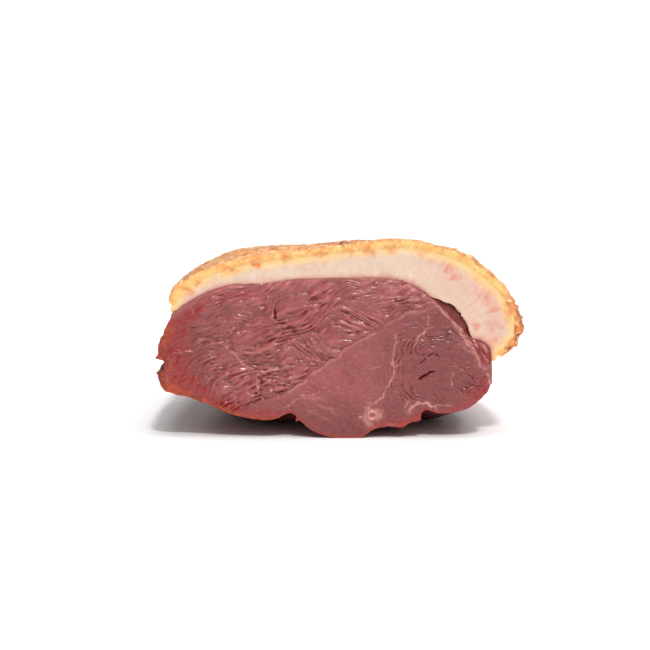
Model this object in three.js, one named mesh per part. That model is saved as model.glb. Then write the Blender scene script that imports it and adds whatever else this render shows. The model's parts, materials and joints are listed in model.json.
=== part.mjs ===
// One half of a smoked duck breast, as it lies on a board after one straight cut across the middle.
// Three tissues show on the cut: lean meat, the fat above it, and the smoked skin outside the fat.
//
// Millimetres. +Z is up, the cut face looks along -Y, and the breast narrows to its tip along +Y.
// The origin is at the bottom centre of the whole piece.
//
// Each tissue is a block with a lower and an upper surface. A surface is a function of s, which runs
// from the left edge of the cut (0) to the right edge (1), and t, from the cut (0) to the tip (1).

import * as THREE from 'three';
import { mergeVertices } from 'three/addons/utils/BufferGeometryUtils.js';

// ---- driving dimensions ----

const LENGTH = 90; // from the cut face to the tip, over the skin
const MEAT_LENGTH = 84; // the meat stops short of the skin at the tip
const SKIN_THICKNESS = 1.6;
const TISSUE_GAP = 0.3; // left between one tissue and the next
const TIP_HEIGHT = 4.2; // the tip's middle, above the board
const TIP_DRIFT = -9; // the tip lies to the left of the middle of the cut

// ---- outlines of the cut face: x and z, left to right ----

// The skin's outer edge: it turns under at the left, and hangs down over the meat at the right.
const SKIN_LINE = [
  [-38.4, 30.3],
  [-38.2, 32.3],
  [-36.5, 34.7],
  [-33.0, 37.0],
  [-28.0, 39.2],
  [-21.4, 41.0],
  [-10.6, 42.5],
  [0, 43.8],
  [10.6, 44.9],
  [16.4, 44.8],
  [22.4, 43.5],
  [27.8, 41.7],
  [33.2, 37.7],
  [37.4, 33.6],
  [40.1, 28.2],
  [40.7, 24.2],
  [38.8, 20.6],
  [35.9, 18.3],
];

// The top of the meat, under the fat. At the right it runs down below the slit, then steps out
// to the brown tissue that still holds the fat.
const MEAT_LINE = [
  [-38.2, 28.0],
  [-32.0, 31.9],
  [-25.6, 34.4],
  [-16.8, 35.0],
  [-9.4, 36.0],
  [4.6, 36.2],
  [13.0, 35.9],
  [18.4, 33.3],
  [24.2, 27.9],
  [28.8, 22.9],
  [31.2, 22.4],
  [33.5, 20.6],
  [33.8, 17.6],
];

// The underside of the meat: a lobe that rests on the board, between two notches.
const UNDER_LINE = [
  [-40.2, 11.4],
  [-38.0, 10.4],
  [-34.0, 9.5],
  [-28.8, 7.6],
  [-24.0, 5.5],
  [-18.0, 4.3],
  [-14.6, 4.5],
  [-11.2, 6.2],
  [-8.6, 3.7],
  [-6.0, 1.6],
  [-2.0, 0.3],
  [1.6, 0],
  [4.6, 0],
  [7.6, 2.4],
  [13.6, 2.9],
  [17.2, 4.5],
  [18.8, 7.2],
  [22.4, 5.8],
  [28.8, 7.0],
  [33.2, 10.9],
];

// ---- how the cut's outline carries on to the tip ----

const WIDTH_TAPER = { start: 2.4, end: 0.52 };
const HEIGHT_TAPER = { start: 2.0, end: 0.6 };
const UNDER_TAPER = { start: 7.0, end: 0.5 };

// The top isn't even: long low swells run across it, the left shoulder stands up behind the cut,
// the right side falls away at once, and the skin shrank back in waves at both edges.
const SWELL = { height: 0.9, across: 2.3, along: 1.7 };
const SHOULDER = { height: 2.8, middle: 0.19, reach: 0.12, top: 0.14 };
const FALL = { height: 2.3, from: 0.24, to: 0.56, over: 0.1 };
const SHRINK = { share: 0.022, waves: 2.5 };

// Behind the cut the underside settles on the board: a flat patch whose edges turn up.
const PATCH_SINK = 1.4;
const PATCH_EDGE_RISE = 6.6;
const SETTLED_AT = 0.3;

// A slit where fat and meat came apart in the smoke, open at the cut and closed a little way in.
const SLIT = { middle: 0.82, reach: 0.095, height: 2.9, depth: 0.2 };

// How far the side walls bulge between the upper and the lower surface, left and right.
const MEAT_BULGE = { left: 1.8, right: 0.4 };
const FAT_BULGE = { left: 0.5, right: 0.5 };

// ---- colours ----

const SKIN_FINISH = { color: 0xdb9c57, roughness: 0.45, metalness: 0 };
const FAT_FINISH = { color: 0xebcdb6, roughness: 0.5, metalness: 0 };
const MEAT_FINISH = { color: 0x9a5655, roughness: 0.4, metalness: 0 };

const TURN = 2 * Math.PI;
const { clamp, lerp, smoothstep } = THREE.MathUtils;

/** A smooth curve through the points of an outline. */
function outline(points) {
  return new THREE.SplineCurve(points.map(([x, z]) => new THREE.Vector2(x, z)));
}

/** What is left of the cut's size at t: 1 at the cut, falling to a round end at the tip. */
function taper(t, { start, end }) {
  return Math.pow(1 - Math.pow(t, start), end);
}

/** The sideways drift of the middle line at t. */
function drift(t) {
  return TIP_DRIFT * t * t;
}

/** The height that the left shoulder adds at s, t: it climbs from the cut to its top and dies away. */
function shoulderAt(s, t) {
  const across = Math.exp(-Math.pow((s - SHOULDER.middle) / SHOULDER.reach, 2));
  const climbed = t / SHOULDER.top;
  return SHOULDER.height * across * climbed * Math.exp(1 - climbed);
}

/** How far the right side falls away behind the cut at s, t. */
function fallAt(s, t) {
  return FALL.height * smoothstep(s, FALL.from, FALL.to) * (1 - Math.exp(-t / FALL.over));
}

/** The height that the swells add at s, t: none at the cut and at the edges. */
function swellAt(s, t) {
  const ripple = Math.sin(TURN * (SWELL.across * s + 0.2)) * Math.sin(TURN * SWELL.along * t);
  return (SWELL.height * ripple + shoulderAt(s, t) - fallAt(s, t)) * Math.sin(Math.PI * s);
}

/** An upper surface: a line of the cut, drawn together towards the tip over the given length. */
function arched(line, length) {
  return (s, t) => {
    const at = line.getPointAt(s);
    const x = drift(t) + at.x * taper(t, WIDTH_TAPER);
    const z = lerp(TIP_HEIGHT, at.y + swellAt(s, t), taper(t, HEIGHT_TAPER));
    return new THREE.Vector3(x, length * t - LENGTH / 2, z);
  };
}

/** A surface whose two edges draw back in waves behind the cut. */
function shrunk(surface) {
  return (s, t) => {
    const drawn = (SHRINK.share * (1 - Math.cos(TURN * SHRINK.waves * t))) / 2;
    return surface(lerp(drawn, 1 - drawn, s), t);
  };
}

/** The underside of the meat: the cut's own outline at the front, and settled flat behind it. */
function underside(line, length) {
  return (s, t) => {
    const at = line.getPointAt(s);
    const out = at.x / line.points.at(-1).x;
    const settled = PATCH_EDGE_RISE * Math.pow(out, 4) - PATCH_SINK;
    const resting = lerp(at.y, settled, smoothstep(t, 0, SETTLED_AT));
    const x = drift(t) + at.x * taper(t, WIDTH_TAPER);
    const z = lerp(TIP_HEIGHT, resting, taper(t, UNDER_TAPER));
    return new THREE.Vector3(x, length * t - LENGTH / 2, Math.max(0, z));
  };
}

/** The outward normal of a surface. At the cut it lies in the cut, and at the tip it points along +Y. */
function normalAt(surface, s, t) {
  if (t === 1) return new THREE.Vector3(0, 1, 0);
  const step = 0.004;
  const across = surface(clamp(s + step, 0, 1), t).sub(surface(clamp(s - step, 0, 1), t));
  const along = surface(s, clamp(t + step, 0, 1)).sub(surface(s, clamp(t - step, 0, 1)));
  const normal = across.cross(along);
  if (t === 0) normal.y = 0;
  return normal.normalize();
}

/** A surface moved along its own normal, by a distance that may change over it. */
function offset(surface, distanceAt) {
  return (s, t) => surface(s, t).addScaledVector(normalAt(surface, s, t), distanceAt(s, t));
}

/** How far the slit lifts the fat off the meat. */
function slitHeight(s, t) {
  const along = clamp(1 - Math.pow((s - SLIT.middle) / SLIT.reach, 2), 0, 1);
  return SLIT.height * Math.pow(along, 1.5) * (1 - smoothstep(t, 0, SLIT.depth));
}

/** A closed block of tissue between a lower and an upper surface, with its side walls bulged. */
function tissue(lower, upper, { across, along, through }, bulge) {
  const box = new THREE.BoxGeometry(1, 1, 1, across, along, through);
  box.deleteAttribute('normal');
  box.deleteAttribute('uv');
  const places = box.attributes.position;
  const step = (value, count) => Math.round((value + 0.5) * count) / count;
  for (let i = 0; i < places.count; i++) {
    const s = step(places.getX(i), across);
    const t = step(places.getY(i), along);
    const r = step(places.getZ(i), through);
    // Steps close up towards the tip, where the surfaces turn fastest.
    const eased = Math.sin((t * Math.PI) / 2);
    const at = lower(s, eased).lerp(upper(s, eased), r);
    const bulged = 4 * r * (1 - r) * taper(eased, HEIGHT_TAPER);
    if (s === 0) at.x -= bulge.left * bulged;
    if (s === 1) at.x += bulge.right * bulged;
    places.setXYZ(i, at.x, at.y, at.z);
  }
  return withoutSlivers(mergeVertices(box, 1e-3));
}

/** The same geometry without the triangles that closed up when their corners were merged. */
function withoutSlivers(geometry) {
  const corners = geometry.index.array;
  const kept = [];
  for (let i = 0; i < corners.length; i += 3) {
    const [a, b, c] = corners.slice(i, i + 3);
    if (a !== b && b !== c && c !== a) kept.push(a, b, c);
  }
  geometry.setIndex(kept);
  geometry.computeVertexNormals();
  return geometry;
}

/** A named mesh with its own finish. */
function piece(name, geometry, finish) {
  const mesh = new THREE.Mesh(geometry, new THREE.MeshStandardMaterial(finish));
  mesh.name = name;
  return mesh;
}

// ---- the surfaces, from outside in ----

const skinOuter = shrunk(arched(outline(SKIN_LINE), LENGTH));
const skinInner = offset(skinOuter, () => -SKIN_THICKNESS);
const fatOuter = offset(skinOuter, () => -SKIN_THICKNESS - TISSUE_GAP);
const meatTop = arched(outline(MEAT_LINE), MEAT_LENGTH);
const fatInner = offset(meatTop, (s, t) => TISSUE_GAP + slitHeight(s, t));
const meatUnder = underside(outline(UNDER_LINE), MEAT_LENGTH);

// ---- the pieces ----

function skin() {
  const steps = { across: 44, along: 17, through: 1 };
  return piece('skin', tissue(skinInner, skinOuter, steps, { left: 0, right: 0 }), SKIN_FINISH);
}

function fatLayer() {
  const steps = { across: 44, along: 17, through: 3 };
  return piece('fat_layer', tissue(fatInner, fatOuter, steps, FAT_BULGE), FAT_FINISH);
}

function breastMeat() {
  const steps = { across: 54, along: 17, through: 5 };
  return piece('breast_meat', tissue(meatUnder, meatTop, steps, MEAT_BULGE), MEAT_FINISH);
}

/** Puts the origin at the bottom centre of everything in the group. */
function centred(group) {
  const bounds = new THREE.Box3().setFromObject(group, true);
  const middle = bounds.getCenter(new THREE.Vector3());
  group.children.forEach((mesh) => mesh.geometry.translate(-middle.x, -middle.y, -bounds.min.z));
  return group;
}

const duckBreast = new THREE.Group();
duckBreast.name = 'smoked_duck_breast';
duckBreast.add(breastMeat(), fatLayer(), skin());

export default centred(duckBreast);
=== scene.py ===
"""Looks of a smoked duck breast cut across the middle: lean meat, its fat and the smoked skin.

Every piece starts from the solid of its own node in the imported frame. The solid is made
even, cut square at its front, given a fine net over the cut and then worked like clay:
muscle bundles, seams, veins, creases, pores and ragged edges are real shape.
Lengths in this file are millimetres unless a name says otherwise; Blender gets metres.
"""

import json
import logging
import math
from dataclasses import dataclass, field
from enum import Enum

import bmesh
import bpy
import numpy as np
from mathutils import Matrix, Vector, noise
from mathutils.bvhtree import BVHTree
from mathutils.geometry import delaunay_2d_cdt

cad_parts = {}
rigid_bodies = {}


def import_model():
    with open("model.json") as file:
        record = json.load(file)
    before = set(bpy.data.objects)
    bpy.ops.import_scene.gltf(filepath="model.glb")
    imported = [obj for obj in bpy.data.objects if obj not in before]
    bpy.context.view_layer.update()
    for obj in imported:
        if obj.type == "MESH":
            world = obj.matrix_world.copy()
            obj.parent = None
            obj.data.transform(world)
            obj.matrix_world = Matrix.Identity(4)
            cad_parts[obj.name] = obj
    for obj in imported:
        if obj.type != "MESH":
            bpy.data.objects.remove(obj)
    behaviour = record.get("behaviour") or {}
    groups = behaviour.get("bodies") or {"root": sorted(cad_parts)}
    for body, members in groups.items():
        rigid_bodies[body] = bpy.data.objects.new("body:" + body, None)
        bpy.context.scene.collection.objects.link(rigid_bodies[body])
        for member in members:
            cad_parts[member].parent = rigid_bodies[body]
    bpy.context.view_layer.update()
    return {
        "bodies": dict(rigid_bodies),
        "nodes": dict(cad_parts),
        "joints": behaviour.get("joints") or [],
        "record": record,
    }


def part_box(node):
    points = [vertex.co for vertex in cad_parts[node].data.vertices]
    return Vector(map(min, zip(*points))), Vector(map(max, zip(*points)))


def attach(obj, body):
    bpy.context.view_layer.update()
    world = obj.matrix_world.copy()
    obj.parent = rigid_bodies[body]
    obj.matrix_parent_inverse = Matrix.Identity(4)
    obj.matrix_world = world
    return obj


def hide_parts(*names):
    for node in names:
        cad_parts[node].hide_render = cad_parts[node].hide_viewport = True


MM = 0.001
BODY = "root"
LOG = logging.getLogger("duck_breast")

Spot = tuple[float, float]


class Node(Enum):
    """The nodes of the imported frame."""

    MEAT = "breast_meat"
    FAT = "fat_layer"
    SKIN = "skin"


# ---------------------------------------------------------------------------
# Small helpers: colours, curves and noise
# ---------------------------------------------------------------------------


def tone(red: int, green: int, blue: int) -> tuple[float, float, float, float]:
    """Turns a colour as seen on a screen into the linear one that shaders use.

    Args:
        red: Red, 0 to 255.
        green: Green, 0 to 255.
        blue: Blue, 0 to 255.

    Returns:
        Linear red, green, blue and an alpha of 1.
    """
    linear = [((value / 255 + 0.055) / 1.055) ** 2.4 for value in (red, green, blue)]
    return (linear[0], linear[1], linear[2], 1.0)


def ease(values: np.ndarray, low: float, high: float) -> np.ndarray:
    """Runs smoothly from 0 at low to 1 at high.

    Args:
        values: The values to map.
        low: Where the result leaves 0.
        high: Where the result reaches 1; it may be less than low.

    Returns:
        The eased values, 0 to 1.
    """
    share = np.clip((values - low) / (high - low), 0.0, 1.0)
    return share * share * (3.0 - 2.0 * share)


def bell(values: np.ndarray, width: float) -> np.ndarray:
    """Gives 1 at zero, falling away to each side over the width."""
    return np.exp(-((values / width) ** 2))


def lumps(spots: np.ndarray, size: float, octaves: int = 3, seed: float = 0.0) -> np.ndarray:
    """Gives soft random lumps.

    Args:
        spots: Points, one row each.
        size: Width of a lump, in the points' own unit.
        octaves: How many finer layers are added.
        seed: Picks another pattern.

    Returns:
        A value of about -1 to 1 for each point.
    """
    shift = Vector((seed * 13.7, seed * 7.9, seed * 3.3))
    rows = (spots / size).tolist()
    return np.array([noise.fractal(Vector(row) + shift, 1.0, 2.0, octaves) for row in rows])


def cell_gap(spots: np.ndarray, seed: float = 0.0) -> np.ndarray:
    """Measures how far each point is from the wall between two random cells of unit size.

    Args:
        spots: Points, one row each, already scaled to the cells.
        seed: Picks another pattern.

    Returns:
        0 on a wall, growing to about 1 in the middle of a cell.
    """
    shift = Vector((seed * 11.1, seed * 5.3, seed * 2.9))
    found = (noise.voronoi(Vector(row) + shift)[0] for row in spots.tolist())
    return np.array([near[1] - near[0] for near in found])


def cell_middle(spots: np.ndarray, seed: float = 0.0) -> np.ndarray:
    """Measures how far each point is from the middle of its random cell of unit size."""
    shift = Vector((seed * 11.1, seed * 5.3, seed * 2.9))
    return np.array([noise.voronoi(Vector(row) + shift)[0][0] for row in spots.tolist()])


def crests(spots: np.ndarray, octaves: int = 2, seed: float = 0.0) -> np.ndarray:
    """Gives thin raised wrinkles.

    Args:
        spots: Points, one row each, already scaled to the wrinkles.
        octaves: How many finer layers are added.
        seed: Picks another pattern.

    Returns:
        1 along a crest, falling to about 0 between crests.
    """
    total = np.zeros(len(spots))
    weight = 0.0
    for octave in range(octaves):
        soft = lumps(spots * 2.0**octave, 1.0, 1, seed + octave)
        total += 0.6**octave * (1.0 - np.clip(np.abs(soft) * 2.2, 0.0, 1.0)) ** 2
        weight += 0.6**octave
    return total / weight


def crowned(phase: np.ndarray) -> np.ndarray:
    """Gives one round-topped row for each unit of phase, 0 in the furrow and 1 on the crown."""
    return np.abs(np.cos(math.pi * phase)) ** 0.7


def stacked(*columns: np.ndarray) -> np.ndarray:
    """Puts columns side by side as rows of points."""
    return np.stack(columns, axis=1)


def rounded_path(points: tuple[Spot, ...], steps: int = 5) -> np.ndarray:
    """Lays a smooth curve through given points.

    Args:
        points: Points that the curve passes through, in order.
        steps: Pieces between two points.

    Returns:
        The curve's points.
    """
    knots = np.array(points)
    knots = np.vstack([2 * knots[0] - knots[1], knots, 2 * knots[-1] - knots[-2]])
    path = []
    for before, start, end, after in zip(knots, knots[1:], knots[2:], knots[3:]):
        for share in np.arange(steps) / steps:
            bend = 2 * start + (end - before) * share
            bend = bend + (2 * before - 5 * start + 4 * end - after) * share**2
            bend = bend + (3 * start - before - 3 * end + after) * share**3
            path.append(bend / 2)
    path.append(knots[-2])
    return np.array(path)


def path_distance(spots: np.ndarray, path: np.ndarray) -> tuple[np.ndarray, np.ndarray, np.ndarray]:
    """Measures points on the cut against a path.

    Args:
        spots: Points as (x, z).
        path: The path's points as (x, z).

    Returns:
        Distance to the path, the side (1 left of its direction, -1 right), and the share
        of the path's length at the nearest place.
    """
    best = np.full(len(spots), np.inf)
    side = np.ones(len(spots))
    share = np.zeros(len(spots))
    for index, (start, end) in enumerate(zip(path, path[1:])):
        run = end - start
        reach = spots - start
        part = np.clip(reach @ run / (run @ run), 0.0, 1.0)
        away = reach - part[:, None] * run
        distance = np.hypot(away[:, 0], away[:, 1])
        closer = distance < best
        best = np.where(closer, distance, best)
        turn = run[0] * reach[:, 1] - run[1] * reach[:, 0]
        side = np.where(closer, np.where(turn >= 0, 1.0, -1.0), side)
        share = np.where(closer, (index + part) / (len(path) - 1), share)
    return best, side, share


# ---------------------------------------------------------------------------
# Node sheets: shaders and the node groups that several finishes use
# ---------------------------------------------------------------------------


class NodeSheet:
    """A node tree while it is being laid out."""

    def __init__(self, tree: bpy.types.NodeTree) -> None:
        """Takes the tree to lay nodes in."""
        self.tree = tree

    def add(self, kind: str, **settings: object) -> bpy.types.Node:
        """Adds a node.

        Args:
            kind: The node's type name.
            **settings: Properties of the node to set.

        Returns:
            The new node.
        """
        node = self.tree.nodes.new(kind)
        for name, value in settings.items():
            setattr(node, name, value)
        return node

    def feed(self, socket: bpy.types.NodeSocket, value: object) -> None:
        """Links another socket's output to a socket, or sets its value."""
        if isinstance(value, bpy.types.NodeSocket):
            self.tree.links.new(value, socket)
        else:
            socket.default_value = value

    def math(self, operation: str, *values: object, clamp: bool = False) -> bpy.types.NodeSocket:
        """Adds a Math node.

        Args:
            operation: The node's operation.
            *values: Its inputs, sockets or numbers.
            clamp: Whether the result is kept between 0 and 1.

        Returns:
            Its output.
        """
        node = self.add("ShaderNodeMath", operation=operation, use_clamp=clamp)
        for socket, value in zip(node.inputs, values):
            self.feed(socket, value)
        return node.outputs[0]

    def blend(self, share: object, first: object, second: object) -> bpy.types.NodeSocket:
        """Mixes two colours.

        Args:
            share: How much of the second colour, 0 to 1.
            first: The first colour.
            second: The second colour.

        Returns:
            The mixed colour.
        """
        node = self.add("ShaderNodeMix", data_type="RGBA")
        node.clamp_factor = True
        self.feed(node.inputs[0], share)
        self.feed(node.inputs[6], first)
        self.feed(node.inputs[7], second)
        return node.outputs[2]

    def spread(self, value: object, low: float, high: float) -> bpy.types.NodeSocket:
        """Stretches values so that low becomes 0 and high becomes 1, smoothly."""
        node = self.add("ShaderNodeMapRange", interpolation_type="SMOOTHSTEP")
        self.feed(node.inputs["Value"], value)
        node.inputs["From Min"].default_value = low
        node.inputs["From Max"].default_value = high
        return node.outputs["Result"]

    def noise(self, vector: object, scale: object, detail: float = 3.0) -> bpy.types.NodeSocket:
        """Adds soft noise on a vector and gives its value."""
        node = self.add("ShaderNodeTexNoise")
        node.inputs["Detail"].default_value = detail
        self.feed(node.inputs["Vector"], vector)
        self.feed(node.inputs["Scale"], scale)
        return node.outputs["Fac"]

    def mask(self, name: str) -> bpy.types.NodeSocket:
        """Reads a mask stored on the piece's points."""
        return self.add("ShaderNodeAttribute", attribute_name=name).outputs["Fac"]

    def vector(self, name: str) -> bpy.types.NodeSocket:
        """Reads a vector stored on the piece's points."""
        return self.add("ShaderNodeAttribute", attribute_name=name).outputs["Vector"]

    def place(self) -> bpy.types.NodeSocket:
        """Gives the place on the piece, in metres."""
        return self.add("ShaderNodeTexCoord").outputs["Object"]

    def scaled(self, vector: object, scale: tuple[float, float, float]) -> bpy.types.NodeSocket:
        """Stretches a vector by a scale for each axis."""
        node = self.add("ShaderNodeMapping")
        self.feed(node.inputs["Vector"], vector)
        node.inputs["Scale"].default_value = scale
        return node.outputs["Vector"]


class Effect(Enum):
    """Node groups that more than one finish uses."""

    MOTTLE = "tissue mottle"
    GRAIN = "fibre grain"
    GLOSS = "wet gloss"


def group_sheet(effect: Effect, inputs: dict[str, str], outputs: dict[str, str]) -> NodeSheet:
    """Starts a shader node group.

    Args:
        effect: The effect that the group is for.
        inputs: Socket type of each named input.
        outputs: Socket type of each named output.

    Returns:
        The group's node sheet, with an input and an output node in it.
    """
    tree = bpy.data.node_groups.new(effect.value, "ShaderNodeTree")
    for name, kind in inputs.items():
        tree.interface.new_socket(name=name, in_out="INPUT", socket_type=kind)
    for name, kind in outputs.items():
        tree.interface.new_socket(name=name, in_out="OUTPUT", socket_type=kind)
    sheet = NodeSheet(tree)
    sheet.add("NodeGroupInput", name="in")
    sheet.add("NodeGroupOutput", name="out")
    return sheet


def build_effects() -> None:
    """Builds the node groups once, for all the finishes."""
    number, colour, vector = "NodeSocketFloat", "NodeSocketColor", "NodeSocketVector"

    sheet = group_sheet(
        Effect.MOTTLE,
        {"Vector": vector, "Scale": number, "Deep": colour, "Middle": colour, "Pale": colour},
        {"Colour": colour},
    )
    entry = sheet.tree.nodes["in"].outputs
    broad = sheet.noise(entry["Vector"], entry["Scale"], 2.0)
    fine = sheet.noise(entry["Vector"], sheet.math("MULTIPLY", entry["Scale"], 4.7), 4.0)
    low = sheet.blend(sheet.spread(broad, 0.36, 0.52), entry["Deep"], entry["Middle"])
    high = sheet.blend(sheet.spread(fine, 0.46, 0.74), low, entry["Pale"])
    sheet.feed(sheet.tree.nodes["out"].inputs["Colour"], high)

    sheet = group_sheet(
        Effect.GRAIN,
        {"Vector": vector, "Scale": number, "Speckle": number},
        {"Height": number},
    )
    entry = sheet.tree.nodes["in"].outputs
    strands = sheet.noise(entry["Vector"], entry["Scale"], 3.0)
    grain = sheet.noise(entry["Vector"], sheet.math("MULTIPLY", entry["Scale"], 3.1), 2.0)
    height = sheet.math("ADD", strands, sheet.math("MULTIPLY", grain, entry["Speckle"]))
    sheet.feed(sheet.tree.nodes["out"].inputs["Height"], height)

    sheet = group_sheet(
        Effect.GLOSS,
        {"Vector": vector, "Scale": number, "Wet": number, "Dry": number},
        {"Roughness": number},
    )
    entry = sheet.tree.nodes["in"].outputs
    patches = sheet.spread(sheet.noise(entry["Vector"], entry["Scale"], 4.0), 0.35, 0.65)
    range_wide = sheet.math("SUBTRACT", entry["Dry"], entry["Wet"])
    rough = sheet.math("ADD", entry["Wet"], sheet.math("MULTIPLY", patches, range_wide))
    sheet.feed(sheet.tree.nodes["out"].inputs["Roughness"], rough)


@dataclass(frozen=True)
class Finish:
    """What every tissue's finish has: its name, shine, depth of light and surface relief."""

    name: str
    wet: float
    dry: float
    coat: float
    light_depth: float
    light_share: float
    relief: float

    def start(self) -> tuple[bpy.types.Material, NodeSheet, bpy.types.Node]:
        """Starts the material with its Principled shader.

        Returns:
            The material, its node sheet and the shader node.
        """
        material = bpy.data.materials.new(self.name)
        material.use_nodes = True
        sheet = NodeSheet(material.node_tree)
        shader = material.node_tree.nodes["Principled BSDF"]
        shader.inputs["Subsurface Weight"].default_value = self.light_share
        shader.inputs["Subsurface Scale"].default_value = self.light_depth * MM
        shader.inputs["Coat Weight"].default_value = self.coat
        shader.inputs["Coat Roughness"].default_value = 0.17
        return material, sheet, shader

    def effect(self, sheet: NodeSheet, effect: Effect, **values: object) -> bpy.types.NodeSocket:
        """Places a shared node group with this finish's own values.

        Args:
            sheet: The material's node sheet.
            effect: Which group.
            **values: Its inputs by name.

        Returns:
            The group's output.
        """
        node = sheet.add("ShaderNodeGroup", node_tree=bpy.data.node_groups[effect.value])
        for name, value in values.items():
            sheet.feed(node.inputs[name], value)
        return node.outputs[0]

    def bump(self, sheet: NodeSheet, shader: bpy.types.Node, height: object) -> None:
        """Turns a height into fine relief on the shader."""
        node = sheet.add("ShaderNodeBump")
        node.inputs["Distance"].default_value = self.relief * MM
        sheet.feed(node.inputs["Height"], height)
        sheet.feed(shader.inputs["Normal"], node.outputs["Normal"])


@dataclass(frozen=True)
class MeatFinish(Finish):
    """Cured lean meat: dusky rose inside, rust red where the smoke reached."""

    name: str = "cured lean meat"
    wet: float = 0.26
    dry: float = 0.46
    coat: float = 0.4
    light_depth: float = 0.7
    light_share: float = 0.12
    relief: float = 0.28

    def material(self) -> bpy.types.Material:
        """Builds the material from the masks stored on the meat."""
        material, sheet, shader = self.start()
        shader.inputs["Subsurface Radius"].default_value = (1.0, 0.3, 0.22)
        place = sheet.place()
        fibre = sheet.vector("fibre")
        rose = self.effect(
            sheet, Effect.MOTTLE, Vector=fibre, Scale=0.3,
            Deep=tone(130, 53, 52), Middle=tone(142, 61, 60), Pale=tone(154, 74, 72),
        )
        red = self.effect(
            sheet, Effect.MOTTLE, Vector=fibre, Scale=0.5,
            Deep=tone(106, 34, 32), Middle=tone(117, 41, 38), Pale=tone(128, 51, 47),
        )
        # Redder tissue on the right, the left and over the flap; darker towards the bottom as painted shade.
        cut = sheet.blend(sheet.mask("ruddy_and_low_shade"), rose, red)
        # Painted shade: the furrows of the cut are painted darker.
        cut = sheet.blend(sheet.math("MULTIPLY", sheet.mask("groove_shade"), 0.6), cut, tone(108, 36, 37))
        cut = sheet.blend(sheet.mask("blush"), cut, tone(164, 86, 86))
        # Painted highlight: the ridge tops of the cut are painted paler.
        cut = sheet.blend(sheet.math("MULTIPLY", sheet.mask("crest"), 0.35), cut, tone(182, 104, 101))
        smoke = sheet.mask("smoke")
        cut = sheet.blend(sheet.spread(smoke, 0.03, 0.5), cut, tone(138, 27, 24))
        rust = self.effect(
            sheet, Effect.MOTTLE, Vector=sheet.scaled(place, (1.0, 0.3, 1.0)), Scale=170.0,
            Deep=tone(120, 30, 12), Middle=tone(152, 50, 18), Pale=tone(180, 76, 26),
        )
        colour = sheet.blend(sheet.spread(smoke, 0.7, 0.97), cut, rust)
        # Maroon: the gap's torn tissue, the brown end and the peppered dots, plus painted shade under the meat, in
        # its notches and in crevices.
        colour = sheet.blend(sheet.mask("maroon_and_shade"), colour, tone(102, 24, 20))
        # Pale veins, membranes and vessel wall; on a few ridges the paleness is a painted highlight.
        colour = sheet.blend(sheet.mask("pale"), colour, tone(208, 138, 128))
        sheet.feed(shader.inputs["Base Color"], colour)
        dull = sheet.math("MAXIMUM", sheet.spread(smoke, 0.75, 1.0), sheet.mask("maroon_and_shade"))
        shine = sheet.math("SUBTRACT", 1.0, sheet.math("MULTIPLY", dull, 0.75))
        sheet.feed(shader.inputs["Coat Weight"], sheet.math("MULTIPLY", shine, self.coat))
        rough = self.effect(sheet, Effect.GLOSS, Vector=place, Scale=700.0, Wet=self.wet, Dry=self.dry)
        rough = sheet.math("ADD", rough, sheet.math("MULTIPLY", dull, 0.3))
        sheet.feed(shader.inputs["Roughness"], rough)
        height = self.effect(sheet, Effect.GRAIN, Vector=fibre, Scale=1.6, Speckle=0.5)
        self.bump(sheet, shader, height)
        return material


@dataclass(frozen=True)
class FatFinish(Finish):
    """Soft smoked fat: cream by the meat, pink blotches, golden under the skin."""

    name: str = "smoked fat"
    wet: float = 0.36
    dry: float = 0.55
    coat: float = 0.15
    light_depth: float = 2.4
    light_share: float = 0.45
    relief: float = 0.10

    def material(self) -> bpy.types.Material:
        """Builds the material from the masks stored on the fat."""
        material, sheet, shader = self.start()
        shader.inputs["Subsurface Radius"].default_value = (1.0, 0.6, 0.42)
        place = sheet.place()
        cream = self.effect(
            sheet, Effect.MOTTLE, Vector=place, Scale=170.0,
            Deep=tone(202, 171, 151), Middle=tone(208, 182, 162), Pale=tone(214, 192, 175),
        )
        colour = sheet.blend(sheet.mask("flush"), cream, tone(208, 140, 122))
        golden = sheet.math("MULTIPLY", sheet.mask("golden"), 0.95)
        colour = sheet.blend(golden, colour, tone(232, 190, 124))
        colour = sheet.blend(sheet.mask("browned"), colour, tone(212, 130, 70))
        sheet.feed(shader.inputs["Base Color"], colour)
        rough = self.effect(sheet, Effect.GLOSS, Vector=place, Scale=500.0, Wet=self.wet, Dry=self.dry)
        sheet.feed(shader.inputs["Roughness"], rough)
        height = self.effect(sheet, Effect.GRAIN, Vector=place, Scale=620.0, Speckle=0.6)
        self.bump(sheet, shader, height)
        return material


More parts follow.
